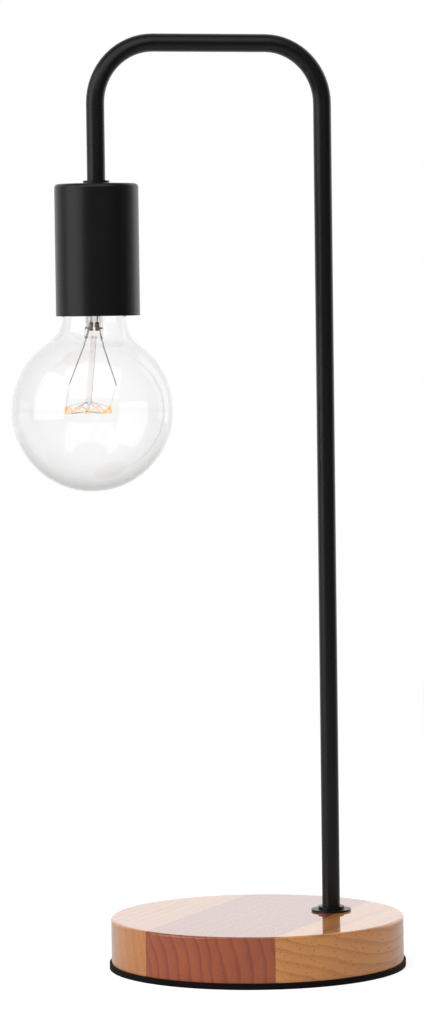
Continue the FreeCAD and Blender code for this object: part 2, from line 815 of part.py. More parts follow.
def glass_globe():
    """Blown globe with its neck, open at the top where the stem is sealed in."""
    outside = glass_outline(0)
    inside = glass_outline(glass_wall)
    top = Part.LineSegment(outside[-1].EndPoint, inside[-1].EndPoint)
    bottom = Part.LineSegment(inside[0].StartPoint, outside[0].StartPoint)
    edges = [c.toShape() for c in outside + [top] + inside + [bottom]]
    face = Part.Face(Part.Wire(Part.__sortEdges__(edges)))
    return face.revolve(V(drop_x, 0, 0), V(0, 0, 1), 360)


def cap_shell():
    """Screw cap: a plain skirt, a threaded barrel and a sloping shoulder."""
    thread_base = cap_base + cap_skirt_length
    cone_base = cap_top - cap_shoulder
    core = cap_root_radius - cap_wall
    hole = cap_top_radius - cap_top_land
    runout = cone_base - (cap_crest_radius - cap_root_radius)
    barrel = turned([(core, thread_base), (cap_crest_radius, thread_base), (cap_crest_radius, runout),
                     (cap_root_radius, cone_base), (core, cone_base)], drop_x)
    turns = (cone_base - groove_start) / cap_pitch + 2
    barrel = threaded(barrel, cap_root_radius + groove_radius, groove_start, turns)
    skirt_in = cap_skirt_radius - cap_wall
    flare = thread_base - cap_lip
    skirt = turned([(skirt_in, cap_base), (cap_skirt_radius, cap_base), (cap_skirt_radius, flare),
                    (cap_crest_radius, thread_base), (core, thread_base), (skirt_in, flare)], drop_x)
    under = cap_top - cap_wall
    shoulder = turned([(core, cone_base), (cap_root_radius, cone_base), (cap_top_radius, cap_top),
                       (hole, cap_top), (hole, under), (cap_top_radius - 2 * cap_lip, under)], drop_x)
    return barrel.multiFuse([skirt, shoulder])


def cap_cement():
    """Cement between the cap's skirt and the glass."""
    height = cap_skirt_length - cement_inset - cap_lip
    return ring(cap_skirt_radius - cap_wall, glass_end_radius, cap_base + cement_inset, height, drop_x)


def cap_insulator():
    """Black glass between the cap and its centre contact."""
    return turned([(0, cap_top), (cap_top_radius - cap_lip, cap_top),
                   (insulator_top_radius, insulator_top), (0, insulator_top)], drop_x)


def cap_contact():
    """Domed solder contact."""
    r = contact_radius
    return turned([(0, insulator_top), (r, insulator_top), (r, insulator_top + contact_height * 0.4),
                   (r * 0.7, contact_top), (0, contact_top)], drop_x)


def stem_point(x, below_press, y=0.0):
    """Point beside the bulb's axis, measured down from the underside of the press."""
    return V(drop_x + x, y, press_base - below_press)


def mount_lean(shape):
    """Turn a piece with the rod, which leans about the underside of the press."""
    leaned = shape.copy()
    leaned.rotate(stem_point(0, 0), V(0, 1, 0), rod_lean)
    return leaned


def lead_points(side):
    """Lead wire from the cap through the press to the filament; side is +1 or -1."""
    top = stem_point(side * lead_spacing / 2, press_base - cap_top)
    if side > 0:
        top = stem_point(cap_root_radius - cap_wall - lead_radius, press_base - cap_top + cap_shoulder + 1)
    above = stem_point(side * lead_spacing / 2, -press_height - 4)
    inside = stem_point(side * lead_press_spacing * 0.4, -press_height * 0.9)
    leave = stem_point(side * lead_press_spacing / 2, -0.5)
    tip = stem_point(side * lead_tip_spacing / 2, lead_tip_below_press)
    low_bend = stem_point(side * lead_spacing / 2, press_base - cap_base)
    return [top, low_bend, above, inside, leave, tip]


def lead_wire(side):
    return wire_chain(lead_points(side), lead_radius)


def glass_rod():
    """Solid glass rod with a button and a thin tip, which carry the filament's supports."""
    low = stem_point(0, rod_length)
    bar = rod(stem_point(0, -1.5), low, rod_radius)
    button = Part.makeSphere(button_radius, low)
    tip = rod(low, low - V(0, 0, tip_length), tip_radius)
    tip_end = Part.makeSphere(tip_radius * 1.3, low - V(0, 0, tip_length))
    whole = mount_lean(bar.multiFuse([button, tip, tip_end]))
    return whole.cut(support_wires(0.0))


def glass_stem():
    """Flare, hollow tube and flat press in one piece of glass."""
    inner = stem_radius - stem_wall
    flare_top = glass_end + stem_wall
    flare_inner = glass_end_radius - glass_wall - slip_gap
    flare_base = glass_end - flare_height
    outline = [(glass_end_radius, glass_end), (glass_end_radius, flare_top),
               (flare_inner - stem_wall, flare_top),
               (inner, flare_base), (inner, press_top), (stem_radius, press_top), (stem_radius, flare_base),
               (flare_inner, glass_end)]
    tube = turned(outline, drop_x)
    press = block((drop_x - press_width / 2, drop_x + press_width / 2),
                  (-press_thickness / 2, press_thickness / 2), (press_base, press_top + 1))
    upright = [e for e in press.Edges if e.BoundBox.ZLength > press_height]
    press = press.makeFillet(press_thickness * 0.4, upright)
    plug = disc(stem_radius, press_top, 1.0, drop_x)
    whole = tube.multiFuse([press, plug])
    for side in (1, -1):
        whole = whole.cut(lead_wire(side))
    return whole.cut(mount_lean(rod(stem_point(0, -1.5), stem_point(0, 3), rod_radius)))


def ring_point(i, half):
    """Filament corner i of a half ring; half is -1 for the front and +1 for the back."""
    angle = math.pi * i / zigzag_points
    centre = mount_lean(Part.Vertex(stem_point(0, ring_below_press))).Point
    offset = V(-ring_radius * math.cos(angle), half * ring_radius * math.sin(angle),
               -zigzag_height / 2 if i % 2 else zigzag_height / 2)
    corner = Part.Vertex(centre + offset)
    corner.rotate(centre, V(0, 1, 0), ring_tilt)
    return corner.Point


def filament():
    """Two half rings in zigzag, hung between the lead wires."""
    front = [ring_point(i, -1) for i in range(zigzag_points + 1)]
    back = [ring_point(i, 1) for i in range(1, zigzag_points)]
    left_tip = lead_points(-1)[-1] - V(0, 0, lead_radius * 1.2)
    right_tip = lead_points(1)[-1] - V(0, 0, lead_radius * 1.2)
    closed = front + back[::-1] + front[:1]
    beads = [Part.makeSphere(filament_radius * bead_fullness, p) for p in closed[:-1]]
    parts = [rod(a, b, filament_radius) for a, b in zip(closed, closed[1:])]
    parts += [rod(left_tip, front[0], filament_radius), rod(right_tip, front[-1], filament_radius)]
    return parts[0].multiFuse(parts[1:] + beads)


def support_wires(short=0.0):
    """Fine hooks from the button and the rod's tip to the filament's corners."""
    wires = []
    for half in (-1, 1):
        for i in range(1, zigzag_points):
            high = i % 2 == 0
            level = rod_length if high else rod_length + tip_length
            centre = mount_lean(Part.Vertex(stem_point(0, level))).Point
            corner = ring_point(i, half)
            outward = (corner - centre).normalize()
            near = (button_radius if high else tip_radius * 1.3) - 0.5
            wires.append(rod(centre + outward * near, corner - outward * short, support_radius))
    return Part.makeCompound(wires)


# ---- the lamp -------------------------------------------------------------------------------

def lean_about_thread(shape):
    """Lean a holder or bulb piece about the middle of the holder's thread."""
    leaned = shape.copy()
    leaned.rotate(V(drop_x, 0, lean_height), V(0, 1, 0), holder_lean)
    return leaned


staves = wood_staves()
upright_pieces = {
    "base_pad": disc(wood_radius + pad_overhang, 0, pad_thickness),
    "wood_stave_left": staves[0],
    "wood_stave_middle": staves[1],
    "wood_stave_right": staves[2],
    "ballast_plate": ballast_plate(),
    "ballast_screws": ballast_screws(),
    "cord_bush": cord_bush(),
    "terminal_block": terminal_block(),
    "block_tubes": block_tubes(),
    "block_screws": block_screws(),
    "foot_washer": ring(foot_washer_diameter / 2, thread_diameter / 2 + running_gap,
                        wood_top, foot_washer_thickness, post_x),
    "foot_lock_washer": ring(lock_washer_diameter / 2, thread_diameter / 2 + running_gap,
                             roof - lock_washer_thickness, lock_washer_thickness, post_x),
    "foot_nut": hex_nut(foot_nut_base, post_x),
    "foot_nipple": nipple(post_x, foot_flange_base, foot_thread_end),
    "arch_tube": arch_tube(),
    "live_wire": inner_wire(1),
    "neutral_wire": inner_wire(-1),
    "head_nipple": nipple(drop_x, cover_top, head_thread_end),
    "socket_cover": socket_cover(),
    "head_nut": hex_nut(head_nut_base, drop_x),
}
leaned_pieces = {
    "holder_dome": holder_dome(),
    "holder_set_screw": set_screw(),
    "holder_skirt": holder_skirt(),
    "holder_insert": holder_insert(),
    "contact_pin": contact_pin(),
    "centre_contact": centre_contact(),
    "screw_shell": screw_shell(),
    "shell_rivets": shell_rivets(),
    "live_terminal": live_terminal(),
    "neutral_terminal": neutral_terminal(),
    "terminal_screws": terminal_screws(),
    "glass_globe": glass_globe(),
    "cap_shell": cap_shell(),
    "cap_cement": cap_cement(),
    "cap_insulator": cap_insulator(),
    "cap_contact": cap_contact(),
    "glass_stem": glass_stem(),
    "glass_rod": glass_rod(),
    "lead_wire_left": lead_wire(-1),
    "lead_wire_right": lead_wire(1),
    "support_wires": support_wires(filament_radius + support_radius),
    "filament": filament(),
}

pieces = dict(upright_pieces)
for name, shape in leaned_pieces.items():
    pieces[name] = lean_about_thread(shape)

for name, shape in pieces.items():
    if not shape.isValid() or not shape.Solids:
        raise RuntimeError(name + " is not a closed solid")
    shape.exportStep("parts/" + name + ".step")
    print(name, len(shape.Solids), "solids", round(shape.Volume, 1), "mm3")

thread_turns = (cap_top - cap_shoulder - shell_base) / cap_pitch
print("turns to unscrew the bulb", round(thread_turns, 3))
print("smallest wire bend radius", round(wire_foot_bend, 2))
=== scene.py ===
"""Looks of the bare bulb table lamp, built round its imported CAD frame."""

import logging
import math
from dataclasses import dataclass
from enum import Enum
from typing import Any, Iterable, Optional, Sequence

import bmesh
import bpy
from mathutils import Matrix, Vector

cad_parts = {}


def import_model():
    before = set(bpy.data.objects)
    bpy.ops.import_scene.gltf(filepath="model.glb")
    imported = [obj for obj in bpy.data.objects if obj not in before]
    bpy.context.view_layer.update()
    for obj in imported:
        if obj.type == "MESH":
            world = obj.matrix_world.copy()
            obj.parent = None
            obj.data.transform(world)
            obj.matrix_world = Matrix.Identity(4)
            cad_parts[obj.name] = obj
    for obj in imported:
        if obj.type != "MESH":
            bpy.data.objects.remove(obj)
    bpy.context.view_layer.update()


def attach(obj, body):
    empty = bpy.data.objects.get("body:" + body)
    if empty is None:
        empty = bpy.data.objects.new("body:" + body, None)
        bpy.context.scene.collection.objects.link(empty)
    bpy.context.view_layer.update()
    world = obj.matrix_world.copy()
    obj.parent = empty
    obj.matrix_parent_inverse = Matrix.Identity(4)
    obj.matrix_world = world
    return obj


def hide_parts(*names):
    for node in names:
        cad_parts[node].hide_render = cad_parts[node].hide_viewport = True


logging.basicConfig(level=logging.INFO, format="%(message)s")
LOG = logging.getLogger("lamp")

MM = 0.001
MERGE_MM = 1e-4             # corners closer than this are one
STAVE_ANGLE = 48.7          # direction in which the staves run, degrees from +X
NOISE_RANGE = (0.3, 0.7)    # the part of a noise value's range that is used

# sockets of a mix node that blends colours, and the inputs that carry one range to another
SHARE, FIRST, SECOND, BLENDED = 0, 6, 7, 2
RANGE_ENDS = ("From Min", "From Max", "To Min", "To Max")

Colour = tuple[float, float, float, float]
Triple = tuple[float, float, float]
Pair = tuple[float, float]
Profile = list[Pair]
Points = list[Vector]
Tree = bpy.types.NodeTree
Node = bpy.types.Node


# ---- node work ---------------------------------------------------------------------------------

def linear(hex_colour: str) -> Colour:
    """Turn an sRGB hex value into linear colour.

    Args:
        hex_colour: Six hex digits, without a sign in front.

    Returns:
        Linear red, green, blue and an alpha of 1.
    """
    channels = []
    for start in (0, 2, 4):
        value = int(hex_colour[start:start + 2], 16) / 255
        channels.append(value / 12.92 if value <= 0.04045 else ((value + 0.055) / 1.055) ** 2.4)
    return channels[0], channels[1], channels[2], 1.0


def grey(value: float) -> Colour:
    """Return a neutral colour of that linear value."""
    return value, value, value, 1.0


def cells_of(width_mm: float) -> float:
    """Return the scale at which a pattern's cells are that many millimetres wide."""
    return 1 / (width_mm * MM)


def feed(tree: Tree, node: Node, inputs: dict[Any, Any]) -> None:
    """Set a node's inputs.

    Args:
        tree: The node tree.
        node: The node.
        inputs: Input name or number to a plain value, to the output socket that feeds it, or to
            a node whose first output feeds it.
    """
    for name, value in inputs.items():
        source = value.outputs[0] if isinstance(value, Node) else value
        if isinstance(source, bpy.types.NodeSocket):
            tree.links.new(source, node.inputs[name])
        else:
            node.inputs[name].default_value = source


def add_node(tree: Tree, kind: str, links: Optional[dict[Any, Any]] = None,
             stops: Sequence[tuple[float, Colour]] = (), **settings: Any) -> Node:
    """Add one node with its settings and links.

    Args:
        tree: The node tree that gets the node.
        kind: The node's type name.
        links: What each input gets, as in feed.
        stops: Position and colour of each stop, in order, where the node is a colour ramp.
        **settings: Properties of the node itself.

    Returns:
        The new node.
    """
    node = tree.nodes.new(kind)
    for name, value in settings.items():
        setattr(node, name, value)
    feed(tree, node, links or {})
    if stops:
        elements = node.color_ramp.elements
        while len(elements) < len(stops):
            elements.new(0.5)
        for element, (position, colour) in zip(elements, stops):
            element.position = position
            element.color = colour
    return node


def start_material(name: str) -> tuple[bpy.types.Material, Tree, Node, bpy.types.NodeSocket]:
    """Make a material with its shader and object coordinates.

    Args:
        name: The material's name.

    Returns:
        The material, its node tree, its shader node and the coordinates' socket.
    """
    material = bpy.data.materials.new(name)
    material.use_nodes = True
    tree = material.node_tree
    tree.nodes.clear()
    shader = add_node(tree, "ShaderNodeBsdfPrincipled")
    add_node(tree, "ShaderNodeOutputMaterial", {"Surface": shader})
    return material, tree, shader, add_node(tree, "ShaderNodeTexCoord").outputs["Object"]


# ---- finishes ----------------------------------------------------------------------------------

@dataclass(frozen=True)
class PlainFinish:
    """A surface of one stuff, with broad mottling, a spread of roughness and a fine relief."""

    name: str
    dark: str
    light: str
    rough: Pair
    grain_mm: float
    relief_mm: float
    relief: float = 0.25
    metallic: float = 0.0
    ior: float = 1.5
    coat: float = 0.0
    coat_roughness: float = 0.1
    specular: float = 0.5
    stretch: Triple = (1.0, 1.0, 1.0)
    mottle_grains: float = 14.0

    def build(self) -> bpy.types.Material:
        """Make the material.

        Returns:
            The finished material.
        """
        material, tree, shader, place = start_material(self.name)
        drawn = add_node(tree, "ShaderNodeMapping", {"Vector": place, "Scale": self.stretch})
        fine = add_node(tree, "ShaderNodeTexNoise",
                        {"Vector": drawn, "Scale": cells_of(self.grain_mm), "Detail": 3.0})
        broad = add_node(tree, "ShaderNodeTexNoise",
                         {"Vector": place, "Detail": 2.0,
                          "Scale": cells_of(self.grain_mm * self.mottle_grains)})
        low, high = NOISE_RANGE
        tone = add_node(tree, "ShaderNodeValToRGB", {"Fac": broad},
                        stops=[(low, linear(self.dark)), (high, linear(self.light))])
        shine = add_node(tree, "ShaderNodeMapRange",
                         {"Value": fine, **dict(zip(RANGE_ENDS, NOISE_RANGE + self.rough))})
        relief = add_node(tree, "ShaderNodeBump",
                          {"Height": fine, "Distance": self.relief_mm * MM,
                           "Strength": self.relief})
        feed(tree, shader, {"Base Color": tone, "Roughness": shine, "Normal": relief,
                            "Metallic": self.metallic, "Coat Weight": self.coat,
                            "Coat Roughness": self.coat_roughness})
        if not self.metallic:
            feed(tree, shader, {"IOR": self.ior, "Specular IOR Level": self.specular})
        return material


@dataclass(frozen=True)
class GlassFinish:
    """Clear blown or drawn glass, faintly uneven, with painted shade that greys it where it is
    seen edge on.
    """

    name: str
    tint: str
    # colours and spread of the painted shade at the glass's edges, darker and greenish at the
    # bottom
    painted_edge_shade: str
    painted_low_edge_shade: str
    ior: float
    wave_mm: float
    wave_height_mm: float = 0.02
    wave_relief: float = 0.5
    painted_edge_shade_power: float = 2.2
    painted_low_edge_shade_mm: Pair = (272.0, 243.0)

    def build(self) -> bpy.types.Material:
        """Make the material.

        Returns:
            The finished material.
        """
        material, tree, shader, place = start_material(self.name)
        # painted shade: the colour greys where the glass is seen edge on, and turns darker and
        # greenish towards the bottom, in place of the dark surroundings that the wall shows there
        weight = add_node(tree, "ShaderNodeLayerWeight", {"Blend": 0.5})
        painted_edge_shade_share = add_node(tree, "ShaderNodeMath",
                              {0: weight.outputs["Facing"], 1: self.painted_edge_shade_power},
                              operation="POWER")
        height = add_node(tree, "ShaderNodeSeparateXYZ", {0: place}).outputs["Z"]
        start, end = self.painted_low_edge_shade_mm
        low = add_node(tree, "ShaderNodeMapRange",
                       {"Value": height, "From Min": start * MM, "From Max": end * MM})
        # painted shade, darker and greenish towards the bottom of the globe
        painted_rim_shade = add_node(tree, "ShaderNodeMix",
                       {SHARE: low, FIRST: linear(self.painted_edge_shade), SECOND: linear(self.painted_low_edge_shade)},
                       data_type="RGBA")
        tone = add_node(tree, "ShaderNodeMix",
                        {SHARE: painted_edge_shade_share, FIRST: linear(self.tint),
                         SECOND: painted_rim_shade.outputs[BLENDED]}, data_type="RGBA")
        wave = add_node(tree, "ShaderNodeTexNoise",
                        {"Vector": place, "Scale": cells_of(self.wave_mm), "Detail": 1.0})
        relief = add_node(tree, "ShaderNodeBump",
                          {"Height": wave, "Distance": self.wave_height_mm * MM,
                           "Strength": self.wave_relief})
        feed(tree, shader, {"Base Color": tone.outputs[BLENDED], "Normal": relief,
                            "Roughness": 0.0, "IOR": self.ior, "Transmission Weight": 1.0})
        return material


@dataclass(frozen=True)
class WoodFinish:
    """Hardwood under gloss lacquer, with growth rings, fibres, blotches and pores.

    The pith of each stave is a line along the stave, so its rings show as curved bands on the
    stave's ends and as long streaks on its sides and top. A stretch below 1 draws a pattern out
    along the stave.
    """

    name: str
    early: str
    late: str
    pore: str
    pith_across_mm: float
    pith_height_mm: float
    ring_mm: float
    ring_share: float
    pore_share: float
    fibre_mm: float = 0.7
    fibre_stretch: float = 0.035
    fibre_share: float = 0.42
    blotch_mm: float = 16.0
    blotch_stretch: float = 0.2
    blotch_share: float = 0.38
    wander_mm: float = 22.0
    wander_stretch: float = 0.12
    wander_reach_mm: float = 8.0
    pore_cell_mm: float = 1.7
    pore_stretch: float = 0.09
    pore_edge: Pair = (0.12, 0.24)
    tone_range: Pair = (0.2, 0.95)
    roughness: float = 0.45
    specular: float = 0.15
    lacquer_roughness: float = 0.04
    lacquer_ior: float = 1.68
    relief_mm: float = 0.05
    relief: float = 0.2

    def build(self) -> bpy.types.Material:
        """Make the material.

        Returns:
            The finished material.
        """
        material, tree, shader, place = start_material(self.name)
        # X runs along the stave after this turn
        along = add_node(tree, "ShaderNodeVectorRotate",
                         {"Vector": place, "Angle": -math.radians(STAVE_ANGLE)},
                         rotation_type="Z_AXIS")
        fibre_place = add_node(tree, "ShaderNodeMapping",
                               {"Vector": along, "Scale": (self.fibre_stretch, 1.0, 1.0)})
        fibre = add_node(tree, "ShaderNodeTexNoise",
                         {"Vector": fibre_place, "Scale": cells_of(self.fibre_mm),
                          "Detail": 4.0})
        blotch_place = add_node(tree, "ShaderNodeMapping",
                                {"Vector": along, "Scale": (self.blotch_stretch, 1.0, 1.0)})
        blotch = add_node(tree, "ShaderNodeTexNoise",
                          {"Vector": blotch_place, "Scale": cells_of(self.blotch_mm),
                           "Detail": 2.0})
        figure = add_node(tree, "ShaderNodeMath",
                          {0: self.rings(tree, along), 1: self.ring_share},
                          operation="MULTIPLY")
        for layer, share in ((fibre, self.fibre_share), (blotch, self.blotch_share)):
            figure = add_node(tree, "ShaderNodeMath", {0: layer, 1: share, 2: figure},
                              operation="MULTIPLY_ADD")
        start, end = self.tone_range
        tone = add_node(tree, "ShaderNodeValToRGB", {"Fac": figure},
                        stops=[(start, linear(self.early)), (end, linear(self.late))])
        colour = add_node(tree, "ShaderNodeMix",
                          {SHARE: self.pores(tree, along), FIRST: tone,
                           SECOND: linear(self.pore)}, data_type="RGBA")
        relief = add_node(tree, "ShaderNodeBump",
                          {"Height": fibre, "Distance": self.relief_mm * MM,
                           "Strength": self.relief})
        feed(tree, shader, {"Base Color": colour.outputs[BLENDED], "Normal": relief,
                            "Roughness": self.roughness, "Specular IOR Level": self.specular,
                            "Coat Weight": 1.0, "Coat Roughness": self.lacquer_roughness,
                            "Coat IOR": self.lacquer_ior})
        return material

    def rings(self, tree: Tree, along: Node) -> Node:
        """Draw the growth rings, from early wood near 0 to late wood at 1.

        Args:
            tree: The node tree.
            along: Node of the coordinates with X along the stave, in metres.

        Returns:
            Node of the ring value.
        """
        slow = add_node(tree, "ShaderNodeMapping",
                        {"Vector": along, "Scale": (self.wander_stretch, 1.0, 1.0)})
        wander = add_node(tree, "ShaderNodeTexNoise",
                          {"Vector": slow, "Scale": cells_of(self.wander_mm), "Detail": 2.0})
        reach = self.wander_reach_mm * MM
        bend = add_node(tree, "ShaderNodeVectorMath",
                        {0: wander.outputs["Color"], 1: (0.0, reach, reach)},
                        operation="MULTIPLY")
        bent = add_node(tree, "ShaderNodeVectorMath", {0: along, 1: bend}, operation="ADD")
        pith = (0.0, self.pith_across_mm * MM, self.pith_height_mm * MM)
        centred = add_node(tree, "ShaderNodeVectorMath", {0: bent, 1: pith},
                           operation="SUBTRACT")
        across = add_node(tree, "ShaderNodeVectorMath", {0: centred, 1: (0.0, 1.0, 1.0)},
                          operation="MULTIPLY")
        radius = add_node(tree, "ShaderNodeVectorMath", {0: across}, operation="LENGTH")
        count = add_node(tree, "ShaderNodeMath",
                         {0: radius.outputs["Value"], 1: self.ring_mm * MM},
                         operation="DIVIDE")
        part = add_node(tree, "ShaderNodeMath", {0: count}, operation="FRACT")
        # slow rise through the early wood, a dark late line, then a quick fall
        return add_node(tree, "ShaderNodeValToRGB", {"Fac": part},
                        stops=[(0.0, grey(0.05)), (0.55, grey(0.3)), (0.86, grey(1.0)),
                               (1.0, grey(0.05))])

    def pores(self, tree: Tree, along: Node) -> Node:
        """Draw the pores, as short dark dashes along the grain.

        Args:
            tree: The node tree.
            along: Node of the coordinates with X along the stave, in metres.

        Returns:
            Node of the pores' share.
        """
        # real pores are 0.3 mm wide, and these are about twice that, so that the render shows them
        thin = add_node(tree, "ShaderNodeMapping",
                        {"Vector": along, "Scale": (self.pore_stretch, 1.0, 1.0)})
        cells = add_node(tree, "ShaderNodeTexVoronoi",
                         {"Vector": thin, "Scale": cells_of(self.pore_cell_mm)})
        shares = (self.pore_share, 0.0)
        return add_node(tree, "ShaderNodeMapRange",
                        {"Value": cells.outputs["Distance"],
                         **dict(zip(RANGE_ENDS, self.pore_edge + shares))})


@dataclass(frozen=True)
class GlowFinish:
    """A hot filament: amber light that is paler in places."""

    name: str
    cool: str
    hot: str
    strength: float
    grain_mm: float = 2.5
    heat_range: Pair = (0.35, 0.65)
    roughness: float = 0.6

    def build(self) -> bpy.types.Material:
        """Make the material.

        Returns:
            The finished material.
        """
        material, tree, shader, place = start_material(self.name)
        heat = add_node(tree, "ShaderNodeTexNoise",
                        {"Vector": place, "Scale": cells_of(self.grain_mm), "Detail": 2.0})
        low, high = self.heat_range
        tone = add_node(tree, "ShaderNodeValToRGB", {"Fac": heat},
                        stops=[(low, linear(self.cool)), (high, linear(self.hot))])
        feed(tree, shader, {"Base Color": tone, "Emission Color": tone,
                            "Emission Strength": self.strength, "Roughness": self.roughness})
        return material


class Finish(Enum):
    """Every finish of the lamp, by the real stuff that it stands for."""

    # baked epoxy powder on steel: near black, soft sheen, faint orange peel
    POWDER_COAT = PlainFinish("black_powder_coat_on_steel", "08080a", "0d0d0f",
                              rough=(0.30, 0.38), grain_mm=0.9, relief_mm=0.010, relief=0.2,
                              specular=0.36)
    # die-cut closed-cell foam rubber: dead black, sooty, matt
    FOAM_RUBBER = PlainFinish("black_foam_rubber", "070303", "0d0706", rough=(0.78, 0.95),
                              grain_mm=0.7, relief_mm=0.06, relief=0.5, specular=0.2)
    # zinc plated mild steel: cool grey with a soft directional gloss
    ZINC_STEEL = PlainFinish("zinc_plated_steel", "9a9da0", "b4b7b8", rough=(0.26, 0.42),
                             grain_mm=0.5, relief_mm=0.01, metallic=1.0,
                             stretch=(1.0, 1.0, 0.2))
    # stamped cartridge brass: warm yellow with rolling marks
    BRASS = PlainFinish("stamped_brass", "a8813f", "c8a25c", rough=(0.22, 0.36), grain_mm=0.4,
                        relief_mm=0.008, metallic=1.0, stretch=(1.0, 1.0, 0.25))
    # injection moulded black nylon: dark grey with a fine spark-eroded texture
    BLACK_NYLON = PlainFinish("black_moulded_nylon", "151516", "1d1d1e", rough=(0.5, 0.62),
                              grain_mm=0.4, relief_mm=0.015)
    # natural nylon of the terminal block: milky and a little waxy
    WHITE_NYLON = PlainFinish("natural_moulded_nylon", "d8d4c6", "e4e1d5", rough=(0.4, 0.55),
                              grain_mm=0.6, relief_mm=0.012)
    # compression moulded phenolic: deep brown black with a hard gloss
    PHENOLIC = PlainFinish("black_phenolic", "120f0e", "1b1715", rough=(0.2, 0.3), grain_mm=0.6,
                           relief_mm=0.006, coat=0.3, coat_roughness=0.12)
    # unglazed pressed steatite: cream stoneware, dry to the eye
    STEATITE = PlainFinish("pressed_steatite", "cdc5b2", "ddd6c6", rough=(0.6, 0.8),
                           grain_mm=0.35, relief_mm=0.02)
    # extruded PVC insulation, brown for the live wire
    BROWN_PVC = PlainFinish("brown_pvc_insulation", "4a2413", "5c2f1b", rough=(0.32, 0.42),
                            grain_mm=0.8, relief_mm=0.006)
    # extruded PVC insulation, blue for the neutral wire
    BLUE_PVC = PlainFinish("blue_pvc_insulation", "1d437c", "26539a", rough=(0.32, 0.42),
                           grain_mm=0.8, relief_mm=0.006)
    # rolled nickel plated brass cap: bright, slightly warm metal
    CAP_METAL = PlainFinish("nickel_plated_cap", "b9b4a8", "cfcabf", rough=(0.16, 0.3),
                            grain_mm=0.5, relief_mm=0.008, metallic=1.0)
    # baked capping cement: tan and grainy
    CEMENT = PlainFinish("capping_cement", "9b8462", "b39c79", rough=(0.75, 0.9), grain_mm=0.3,
                         relief_mm=0.05, relief=0.6)
    # black insulating glass bead of the cap: opaque and shiny
    BLACK_GLASS = PlainFinish("black_insulating_glass", "08080a", "0f0f12", rough=(0.05, 0.12),
                              grain_mm=1.5, relief_mm=0.004, ior=1.55)
    # tin lead solder: soft grey, rippled as it froze
    SOLDER = PlainFinish("soft_solder", "8f9192", "adafb0", rough=(0.3, 0.5), grain_mm=0.9,
                         relief_mm=0.05, metallic=1.0)
    # drawn nickel wire: warm grey metal
    NICKEL_WIRE = PlainFinish("drawn_nickel_wire", "b9b6b1", "cdcac6", rough=(0.34, 0.46),
                              grain_mm=0.3, relief_mm=0.004, metallic=1.0)
    # fine molybdenum wire: pale grey with a dull shine
    MOLYBDENUM = PlainFinish("molybdenum_wire", "cfccc8", "dfdcd8", rough=(0.36, 0.5),
                             grain_mm=0.3, relief_mm=0.004, metallic=1.0)
    # borated copper seal wire: dark red brown and glassy
    DUMET = PlainFinish("borated_copper_seal", "4c150c", "7a2a18", rough=(0.2, 0.35),
                        grain_mm=0.5, relief_mm=0.01, coat=0.5)
    # blown soda lime glass: clear, with painted shade that greys its sides and makes its lower
    # edge darker and greenish
    BULB_GLASS = GlassFinish("blown_soda_lime_glass", tint="fefefe", painted_edge_shade="cdd0ce",
                             painted_low_edge_shade="5c6044", ior=1.36, wave_mm=14.0)
    # drawn lead glass of the stem: clear, with a faint warm cast and painted shade as dark
    # outlines
    STEM_GLASS = GlassFinish("drawn_lead_glass", tint="f6f2f0", painted_edge_shade="4c4543",
                             painted_low_edge_shade="4c4543", ior=1.5, wave_mm=5.0)
    # carbonised filament at low voltage: amber
    HOT_FILAMENT = GlowFinish("glowing_carbon_filament", "c99358", "f3c98e", strength=0.72)
    # light tan rubberwood, quarter sawn
    WOOD_LEFT = WoodFinish("lacquered_rubberwood_left", "e0934a", "b86a26", "7d4a22",
                           pith_across_mm=-120.0, pith_height_mm=60.0, ring_mm=5.2,
                           ring_share=0.2, pore_share=0.35)
    # darker red brown rubberwood, whose end grain faces the front
    WOOD_MIDDLE = WoodFinish("lacquered_rubberwood_middle", "bf5a1e", "842c0a", "4a1d09",
                             pith_across_mm=68.0, pith_height_mm=6.0, ring_mm=6.0,
                             ring_share=0.36, pore_share=0.15)
    # tan rubberwood with flat sawn bands along its side
    WOOD_RIGHT = WoodFinish("lacquered_rubberwood_right", "f4a452", "bb6e2a", "6a3a16",
                            pith_across_mm=50.0, pith_height_mm=-230.0, ring_mm=5.6,
                            ring_share=0.34, pore_share=0.55)


class FinishShelf:
    """Makes each finish once and hands it out."""

    def __init__(self) -> None:
        """Start with no material made."""
        self._made: dict[Finish, bpy.types.Material] = {}

    def take(self, finish: Finish) -> bpy.types.Material:
        """Hand out a finish's material, making it at its first use.

        Args:
            finish: The finish.

        Returns:
            Its material.
        """
        if finish not in self._made:
            self._made[finish] = finish.value.build()
        return self._made[finish]


# ---- mesh work ---------------------------------------------------------------------------------

def finish_piece(bm: bmesh.types.BMesh, name: str, material: bpy.types.Material, body: str,
                 place: Matrix, sharp_degrees: float = 40.0) -> bpy.types.Object:
    """Turn a mesh under construction into a piece that rides on a body.

    Args:
        bm: The mesh in millimetres, upright in its own frame.
        name: The piece's name.
        material: Its finish.
        body: The CAD body that carries it.
        place: Where the piece goes, in millimetres.
        sharp_degrees: Edges that turn further than this stay crisp.

    Returns:
        The new object, at the origin, in metres.
    """
    bmesh.ops.remove_doubles(bm, verts=bm.verts, dist=MERGE_MM)
    bmesh.ops.recalc_face_normals(bm, faces=bm.faces)
    bmesh.ops.transform(bm, matrix=Matrix.Scale(MM, 4) @ place, verts=bm.verts)
    mesh = bpy.data.meshes.new(name)
    bm.to_mesh(mesh)
    bm.free()
    mesh.shade_smooth()
    mesh.set_sharp_from_angle(angle=math.radians(sharp_degrees))
    mesh.materials.append(material)
    piece = bpy.data.objects.new(name, mesh)
    bpy.context.scene.collection.objects.link(piece)
    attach(piece, body)
    LOG.info("built %s", name)
    return piece


